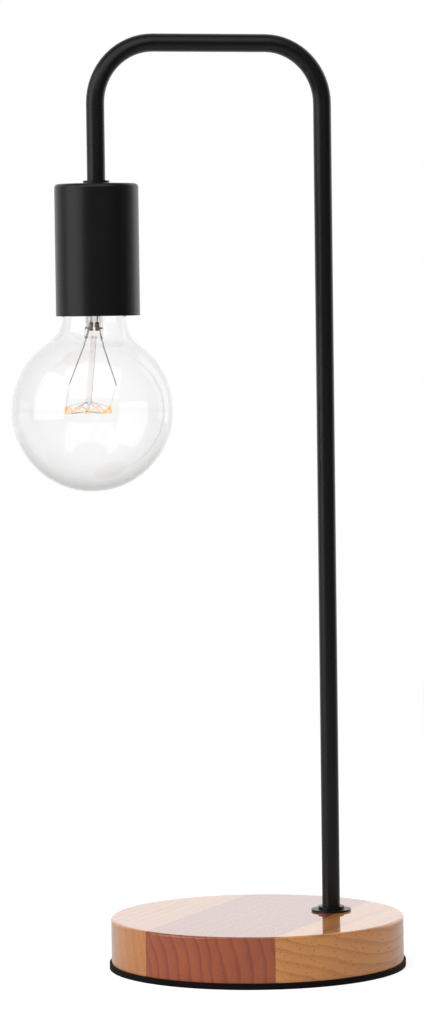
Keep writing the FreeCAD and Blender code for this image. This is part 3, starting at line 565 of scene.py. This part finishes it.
def lathe(points: Profile, steps: int) -> bmesh.types.BMesh:
    """Spin an open profile about the upright axis.

    Args:
        points: Radius and height of each corner, in order.
        steps: Facets round the axis.

    Returns:
        The spun mesh.
    """
    bm = bmesh.new()
    verts = [bm.verts.new((radius, 0.0, height)) for radius, height in points]
    edges = [bm.edges.new(pair) for pair in zip(verts, verts[1:])]
    bmesh.ops.spin(bm, geom=verts + edges, cent=(0, 0, 0), axis=(0, 0, 1),
                   angle=2 * math.pi, steps=steps, use_merge=True)
    bmesh.ops.remove_doubles(bm, verts=bm.verts, dist=MERGE_MM)
    return bm


def arc_points(centre: Pair, radius: float, start: float, end: float, count: int) -> Profile:
    """Return points on an arc.

    Args:
        centre: Its centre, as radius from the axis and height.
        radius: The arc's radius.
        start: Angle of its first point, in degrees.
        end: Angle of its last point, in degrees.
        count: Number of points.

    Returns:
        The points, ends included.
    """
    points = []
    for i in range(count):
        angle = math.radians(start + (end - start) * i / (count - 1))
        points.append((centre[0] + radius * math.cos(angle),
                       centre[1] + radius * math.sin(angle)))
    return points


def wire_mesh(points: Points, radius: float, sides: int = 8) -> bmesh.types.BMesh:
    """Make a round wire through points, with capped ends.

    Args:
        points: The wire's centre line, in millimetres.
        radius: The wire's radius.
        sides: Facets round the wire.

    Returns:
        The wire's mesh.
    """
    bm = bmesh.new()
    ring = bmesh.ops.create_circle(bm, cap_ends=True, radius=radius, segments=sides)["verts"]
    direction = (points[1] - points[0]).normalized()
    turn = Vector((0, 0, 1)).rotation_difference(direction).to_matrix().to_4x4()
    bmesh.ops.transform(bm, matrix=Matrix.Translation(points[0]) @ turn, verts=ring)
    face = bm.faces[:][0]
    for i in range(1, len(points)):
        following = points[min(i + 1, len(points) - 1)] - points[i - 1]
        new_direction = following.normalized()
        step = direction.rotation_difference(new_direction).to_matrix().to_4x4()
        made = bmesh.ops.extrude_face_region(bm, geom=[face])
        if i > 1:
            # the first face stays as the wire's end, and no later one stays inside it
            bmesh.ops.delete(bm, geom=[face], context="FACES_ONLY")
        verts = [v for v in made["geom"] if isinstance(v, bmesh.types.BMVert)]
        face = [f for f in made["geom"] if isinstance(f, bmesh.types.BMFace)][0]
        move = Matrix.Translation(points[i]) @ step @ Matrix.Translation(-points[i - 1])
        bmesh.ops.transform(bm, matrix=move, verts=verts)
        direction = new_direction
    return bm


def loop_mesh(points: Points, radius: float) -> bmesh.types.BMesh:
    """Make a wire of four sides along a closed line.

    Args:
        points: The wire's centre line, in millimetres.
        radius: The wire's radius.

    Returns:
        The wire's mesh.
    """
    curve = bpy.data.curves.new("loop_line", "CURVE")
    curve.dimensions = "3D"
    spline = curve.splines.new("POLY")
    spline.points.add(len(points) - 1)
    for point, place in zip(spline.points, points):
        point.co = (*place, 1.0)
    spline.use_cyclic_u = True
    curve.bevel_depth = radius
    curve.bevel_resolution = 0
    carrier = bpy.data.objects.new("loop_line", curve)
    bpy.context.scene.collection.objects.link(carrier)
    bpy.context.view_layer.update()
    graph = bpy.context.evaluated_depsgraph_get()
    swept = bpy.data.meshes.new_from_object(carrier.evaluated_get(graph))
    bpy.data.objects.remove(carrier)
    bpy.data.curves.remove(curve)
    bm = bmesh.new()
    bm.from_mesh(swept)
    bpy.data.meshes.remove(swept)
    return bm


def dress(shelf: FinishShelf, finish: Finish, nodes: Iterable[str]) -> None:
    """Give CAD nodes a finish.

    Args:
        shelf: Where the materials come from.
        finish: The finish.
        nodes: Names of the nodes.
    """
    for name in nodes:
        materials = bpy.data.objects[name].data.materials
        materials.clear()
        materials.append(shelf.take(finish))
        LOG.info("dressed %s in %s", name, finish.name.lower())


# ---- sub-assemblies ----------------------------------------------------------------------------

@dataclass
class Base:
    """Laminated wooden disc on its pad, with what is screwed into its underside."""

    shelf: FinishShelf

    def build(self) -> None:
        """Dress every node of the base."""
        dress(self.shelf, Finish.WOOD_LEFT, ["wood_stave_left"])
        dress(self.shelf, Finish.WOOD_MIDDLE, ["wood_stave_middle"])
        dress(self.shelf, Finish.WOOD_RIGHT, ["wood_stave_right"])
        dress(self.shelf, Finish.FOAM_RUBBER, ["base_pad"])
        dress(self.shelf, Finish.ZINC_STEEL, ["ballast_plate", "ballast_screws",
                                              "foot_lock_washer", "foot_nut", "block_screws"])
        dress(self.shelf, Finish.BLACK_NYLON, ["cord_bush"])
        dress(self.shelf, Finish.WHITE_NYLON, ["terminal_block"])
        dress(self.shelf, Finish.BRASS, ["block_tubes"])


@dataclass
class Arm:
    """Bent tube with its nipples, washer and wires."""

    shelf: FinishShelf

    def build(self) -> None:
        """Dress every node of the arm."""
        dress(self.shelf, Finish.POWDER_COAT, ["arch_tube", "foot_washer", "foot_nipple",
                                               "head_nipple"])
        dress(self.shelf, Finish.BROWN_PVC, ["live_wire"])
        dress(self.shelf, Finish.BLUE_PVC, ["neutral_wire"])


@dataclass
class Holder:
    """Socket cover and the lampholder inside it."""

    shelf: FinishShelf

    def build(self) -> None:
        """Dress every node of the cover and lampholder."""
        dress(self.shelf, Finish.POWDER_COAT, ["socket_cover"])
        dress(self.shelf, Finish.ZINC_STEEL, ["head_nut", "holder_set_screw", "terminal_screws"])
        dress(self.shelf, Finish.PHENOLIC, ["holder_dome", "holder_skirt"])
        dress(self.shelf, Finish.STEATITE, ["holder_insert"])
        dress(self.shelf, Finish.BRASS, ["screw_shell", "shell_rivets", "contact_pin",
                                         "centre_contact", "live_terminal",
                                         "neutral_terminal"])


@dataclass
class Bulb:
    """Globe bulb that leans a little with its holder. Sizes are in millimetres."""

    shelf: FinishShelf
    # the upright axis and the point about which it leans
    drop_x: float = -79.0
    lean_height: float = 384.5
    lean_degrees: float = 2.0
    # the glass
    globe_centre: float = 281.0
    globe_radius: float = 40.0
    wall: float = 0.9
    neck_radius: float = 16.0
    blend_radius: float = 15.0
    cap_base: float = 334.0
    shoulder_rise: float = 1.0
    glass_end: float = 339.0
    glass_end_radius: float = 11.2
    globe_points: int = 60
    blend_points: int = 16
    globe_facets: int = 128
    glass_sharp_degrees: float = 80.0
    # the stem's press, and the red seals in it
    press_base: float = 316.0
    press_top: float = 321.0
    lead_spacing: float = 3.2
    lead_radius: float = 0.35
    seal_wall: float = 0.75
    seal_bulge: float = 0.1
    seal_heights: tuple[float, ...] = (-1.0, -0.8, 1.2, 3.2, 3.6)
    seal_facets: int = 16
    # the filament, which is a zigzag ring that hangs level from a leaning rod
    rod_lean: float = 3.6
    ring_radius: float = 11.4
    ring_drop: float = 34.8
    ring_tilt: float = -2.0
    zigzag_height: float = 3.4
    zigzag_points: int = 8
    lead_tip_spacing: float = 24.4
    lead_tip_drop: float = 22.5
    tail_radius: float = 0.09
    coil_radius: float = 0.36
    coil_pitch: float = 0.62
    coil_wire: float = 0.13
    coil_samples: int = 6

    def build(self) -> None:
        """Dress the bulb's nodes and build its finer pieces."""
        dress(self.shelf, Finish.CAP_METAL, ["cap_shell"])
        dress(self.shelf, Finish.CEMENT, ["cap_cement"])
        dress(self.shelf, Finish.BLACK_GLASS, ["cap_insulator"])
        dress(self.shelf, Finish.SOLDER, ["cap_contact"])
        dress(self.shelf, Finish.NICKEL_WIRE, ["lead_wire_left", "lead_wire_right"])
        dress(self.shelf, Finish.MOLYBDENUM, ["support_wires"])
        dress(self.shelf, Finish.STEM_GLASS, ["glass_stem", "glass_rod"])
        dress(self.shelf, Finish.HOT_FILAMENT, ["filament"])
        self.envelope()
        self.coiled_filament()
        self.filament_tails()
        for side, word in ((-1, "left"), (1, "right")):
            self.seal(side, word)

    def upright(self) -> Matrix:
        """Lean the bulb's upright axis about its point in the holder.

        Returns:
            The place of the bulb's own frame, in millimetres.
        """
        pivot = Vector((self.drop_x, 0, self.lean_height))
        lean = Matrix.Rotation(math.radians(self.lean_degrees), 4, "Y")
        return (Matrix.Translation(pivot) @ lean @ Matrix.Translation(-pivot)
                @ Matrix.Translation((self.drop_x, 0, 0)))

    def glass_profile(self, inset: float) -> Profile:
        """Return one skin of the glass, from its bottom pole up to its open end.

        Args:
            inset: Depth below the outer skin.

        Returns:
            The skin's points.
        """
        reach = self.globe_radius + self.blend_radius
        side = self.neck_radius + self.blend_radius
        blend_height = self.globe_centre + math.sqrt(reach ** 2 - side ** 2)
        meet = math.degrees(math.atan2(blend_height - self.globe_centre, side))
        globe = arc_points((0.0, self.globe_centre), self.globe_radius - inset, -90.0, meet,
                           self.globe_points)
        globe[0] = (0.0, globe[0][1])
        blend = arc_points((side, blend_height), self.blend_radius + inset, 180 + meet, 180,
                           self.blend_points)
        neck = self.neck_radius - inset
        end = self.glass_end_radius - inset
        neck_top = (blend_height + self.cap_base) / 2
        return globe + blend[1:] + [(neck, neck_top), (end, self.cap_base + self.shoulder_rise),
                                    (end, self.glass_end)]

    def envelope(self) -> None:
        """Blow the globe as one smooth wall of even thickness."""
        outside = self.glass_profile(0.0)
        inside = self.glass_profile(self.wall)
        glass = lathe(outside + inside[::-1], self.globe_facets)
        piece = finish_piece(glass, "glass_bulb", self.shelf.take(Finish.BULB_GLASS), "bulb",
                             self.upright(), self.glass_sharp_degrees)
        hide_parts("glass_globe")

    def zigzag(self) -> Points:
        """Lay out the filament's ring.

        Returns:
            Its corners, from its left end all round.
        """
        lean = math.radians(self.rod_lean)
        centre = Vector((-self.ring_drop * math.sin(lean), 0,
                         self.press_base - self.ring_drop * math.cos(lean)))
        level = Matrix.Rotation(math.radians(self.ring_tilt), 3, "Y")
        corners = []
        for i in range(2 * self.zigzag_points):
            angle = math.pi * i / self.zigzag_points
            rise = self.zigzag_height / 2 * (-1 if i % 2 else 1)
            offset = Vector((-self.ring_radius * math.cos(angle),
                             -self.ring_radius * math.sin(angle), rise))
            corners.append(centre + level @ offset)
        return corners

    def coil_line(self) -> Points:
        """Wind a fine coil along the zigzag ring.

        Returns:
            The coil's centre line, whose last point joins its first.
        """
        corners = self.zigzag()
        closed = corners + corners[:1]
        line: Points = []
        turned = 0.0
        for start, end in zip(closed, closed[1:]):
            run = end - start
            steps = max(2, round(run.length / self.coil_pitch * self.coil_samples))
            aside = run.cross(Vector((0, 0, 1))).normalized()
            rise = aside.cross(run).normalized()
            for i in range(steps):
                turned += 2 * math.pi / self.coil_samples
                centre = start + run * (i / steps)
                line.append(centre + (aside * math.cos(turned) + rise * math.sin(turned))
                            * self.coil_radius)
        return line

    def coiled_filament(self) -> None:
        """Build the filament as a coiled wire."""
        wire = loop_mesh(self.coil_line(), self.coil_wire)
        coil = finish_piece(wire, "filament_coil", self.shelf.take(Finish.HOT_FILAMENT), "bulb",
                            self.upright())
        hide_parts("filament")

    def filament_tails(self) -> None:
        """Run a thin wire from each lead's tip down to the filament's end."""
        corners = self.zigzag()
        for side, word in ((-1, "left"), (1, "right")):
            corner = corners[0] if side < 0 else corners[self.zigzag_points]
            tip = Vector((side * self.lead_tip_spacing / 2, 0,
                          self.press_base - self.lead_tip_drop))
            tail = wire_mesh([tip, tip.lerp(corner, 0.5), corner], self.tail_radius)
            finish_piece(tail, f"filament_tail_{word}", self.shelf.take(Finish.MOLYBDENUM),
                         "bulb", self.upright())

    def seal(self, side: int, word: str) -> None:
        """Put the red seal round one lead in the stem.

        Args:
            side: -1 for the left lead and 1 for the right one.
            word: The side's name.
        """
        outer = self.lead_radius + self.seal_wall
        radii = (self.lead_radius, outer, outer + self.seal_bulge, outer, self.lead_radius)
        heights = (self.press_top + height for height in self.seal_heights)
        place = self.upright() @ Matrix.Translation((side * self.lead_spacing / 2, 0, 0))
        finish_piece(lathe(list(zip(radii, heights)), self.seal_facets), f"seal_{word}",
                     self.shelf.take(Finish.DUMET), "bulb", place)


# ---- studio ------------------------------------------------------------------------------------

@dataclass(frozen=True)
class Softbox:
    """One soft light that faces the lamp, with its sizes in metres."""

    name: str
    place: Triple
    size: Pair
    watts: float
    aim: Triple = (0.0, 0.0, 0.22)

    def build(self) -> None:
        """Hang the softbox."""
        data = bpy.data.lights.new(self.name, "AREA")
        data.shape = "RECTANGLE"
        data.size, data.size_y = self.size
        data.energy = self.watts
        light = bpy.data.objects.new(self.name, data)
        towards = Vector(self.aim) - Vector(self.place)
        light.matrix_world = (Matrix.Translation(self.place)
                              @ towards.to_track_quat("-Z", "Y").to_matrix().to_4x4())
        bpy.context.scene.collection.objects.link(light)


def mirror_share(tree: Tree, path: Node) -> Node:
    """Tell rays that come from a mirroring surface, by 1, from all others, by 0.

    Args:
        tree: The node tree.
        path: Its light path node.

    Returns:
        Node of the share.
    """
    # a ray that passed through glass counts as a glossy ray too
    return add_node(tree, "ShaderNodeMath", {0: path.outputs["Is Glossy Ray"],
                                             1: path.outputs["Is Transmission Ray"]},
                    operation="SUBTRACT", use_clamp=True)


@dataclass
class Studio:
    """Floor, light and camera. Lengths are in metres, and 1 is white."""

    # the camera, as fitted to the photograph
    lens_mm: float = 149.887
    sensor_mm: float = 36.0
    sight: float = 50.0
    camera_place: Triple = (-0.682522, -2.016982, 0.345642)
    right: Triple = (0.94992658, -0.3122073, -0.0128874)
    up: Triple = (0.02934465, 0.04807163, 0.99841275)
    forward: Triple = (0.31109223, 0.94879698, -0.05482614)
    # the backdrop, by the cosine of a direction's angle to the camera's own
    backdrop_turn: Pair = (0.05, 0.85)
    backdrop_light: Pair = (0.12, 1.0)
    backdrop_mirror_gain: float = 0.2
    # the floor, by the distance from the lamp and, in mirrors, by how far behind it
    floor_size: float = 12.0
    fade_distance: Pair = (0.3, 1.5)
    floor_lift: Pair = (0.64, 1.0)
    floor_paint: Pair = (0.72, 0.0)
    mirror_distance: Pair = (0.1, 1.2)
    mirror_lift: Pair = (0.1, 1.15)
    softboxes: tuple[Softbox, ...] = (
        Softbox("left_softbox", (-1.6, -0.2, 0.55), (1.5, 2.2), 18.0),
        Softbox("front_softbox", (-0.4, -1.5, 1.9), (3.2, 2.2), 30.0),
        Softbox("right_softbox", (1.5, 0.5, 0.6), (0.9, 1.8), 2.5),
    )

    def build(self) -> None:
        """Set up everything round the lamp."""
        self.camera()
        self.world()
        self.floor()
        for softbox in self.softboxes:
            softbox.build()
        bpy.context.scene.view_settings.view_transform = "Standard"

    def camera(self) -> None:
        """Place the camera at the photograph's angle."""
        data = bpy.data.cameras.new("camera")
        data.lens = self.lens_mm
        data.sensor_width = self.sensor_mm
        data.clip_end = self.sight
        camera = bpy.data.objects.new("camera", data)
        back = -Vector(self.forward)
        turn = Matrix((self.right, self.up, back)).transposed().to_4x4()
        camera.matrix_world = Matrix.Translation(self.camera_place) @ turn
        bpy.context.scene.collection.objects.link(camera)
        bpy.context.scene.camera = camera

    def world(self) -> None:
        """Surround the lamp with a white backdrop that lights it less from the front."""
        world = bpy.data.worlds.new("studio")
        bpy.context.scene.world = world
        world.use_nodes = True
        tree = world.node_tree
        tree.nodes.clear()
        direction = add_node(tree, "ShaderNodeTexCoord").outputs["Generated"]
        facing = add_node(tree, "ShaderNodeVectorMath", {0: direction, 1: self.forward},
                          operation="DOT_PRODUCT")
        bright = add_node(tree, "ShaderNodeMapRange",
                          {"Value": facing.outputs["Value"],
                           **dict(zip(RANGE_ENDS, self.backdrop_turn + self.backdrop_light))})
        path = add_node(tree, "ShaderNodeLightPath")
        gain = add_node(tree, "ShaderNodeMath",
                        {0: mirror_share(tree, path), 1: self.backdrop_mirror_gain, 2: 1.0},
                        operation="MULTIPLY_ADD")
        lit = add_node(tree, "ShaderNodeMath", {0: bright, 1: gain}, operation="MULTIPLY")
        seen = add_node(tree, "ShaderNodeMath", {0: path.outputs["Is Camera Ray"], 1: lit},
                        operation="MAXIMUM")
        light = add_node(tree, "ShaderNodeBackground", {"Color": grey(1.0), "Strength": seen})
        add_node(tree, "ShaderNodeOutputWorld", {"Surface": light})

    def floor(self) -> None:
        """Lay a plain white floor that keeps the lamp's soft shadow."""
        bm = bmesh.new()
        bmesh.ops.create_grid(bm, x_segments=1, y_segments=1, size=self.floor_size / 2)
        mesh = bpy.data.meshes.new("floor")
        bm.to_mesh(mesh)
        bm.free()
        mesh.materials.append(self.floor_material())
        floor = bpy.data.objects.new("floor", mesh)
        bpy.context.scene.collection.objects.link(floor)

    def floor_material(self) -> bpy.types.Material:
        """Make the floor's paint, which gives way to even white away from the lamp.

        Returns:
            The finished material.
        """
        material = bpy.data.materials.new("white_studio_floor")
        material.use_nodes = True
        tree = material.node_tree
        tree.nodes.clear()
        place = add_node(tree, "ShaderNodeTexCoord").outputs["Object"]
        path = add_node(tree, "ShaderNodeLightPath")
        seen = add_node(tree, "ShaderNodeMath", {0: path.outputs["Is Camera Ray"],
                                                 1: path.outputs["Is Transmission Ray"]},
                        operation="MAXIMUM")
        # in mirrors the floor is as bright as the backdrop behind the lamp, and dim before it
        behind = add_node(tree, "ShaderNodeVectorMath", {0: place, 1: self.forward},
                          operation="DOT_PRODUCT").outputs["Value"]
        back_lift = add_node(tree, "ShaderNodeMapRange",
                             {"Value": behind,
                              **dict(zip(RANGE_ENDS, self.mirror_distance + self.mirror_lift))})
        mirrored = add_node(tree, "ShaderNodeMath",
                            {0: mirror_share(tree, path), 1: back_lift}, operation="MULTIPLY")
        away = add_node(tree, "ShaderNodeVectorMath", {0: place},
                        operation="LENGTH").outputs["Value"]
        near_lift = add_node(tree, "ShaderNodeMapRange",
                             {"Value": away,
                              **dict(zip(RANGE_ENDS, self.fade_distance + self.floor_lift))})
        lift = add_node(tree, "ShaderNodeMath", {0: seen, 1: near_lift, 2: mirrored},
                        operation="MULTIPLY_ADD")
        paint = add_node(tree, "ShaderNodeMapRange",
                         {"Value": away,
                          **dict(zip(RANGE_ENDS, self.fade_distance + self.floor_paint))})
        diffuse = add_node(tree, "ShaderNodeBsdfDiffuse", {"Color": paint})
        glow = add_node(tree, "ShaderNodeEmission", {"Color": grey(1.0), "Strength": lift})
        both = add_node(tree, "ShaderNodeAddShader", {0: diffuse, 1: glow})
        add_node(tree, "ShaderNodeOutputMaterial", {"Surface": both})
        return material


def main() -> None:
    """Build the lamp and its studio."""
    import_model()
    Studio().build()
    shelf = FinishShelf()
    for assembly in (Base(shelf), Arm(shelf), Holder(shelf), Bulb(shelf)):
        assembly.build()
        LOG.info("finished the %s", type(assembly).__name__.lower())


if __name__ == "__main__":
    main()
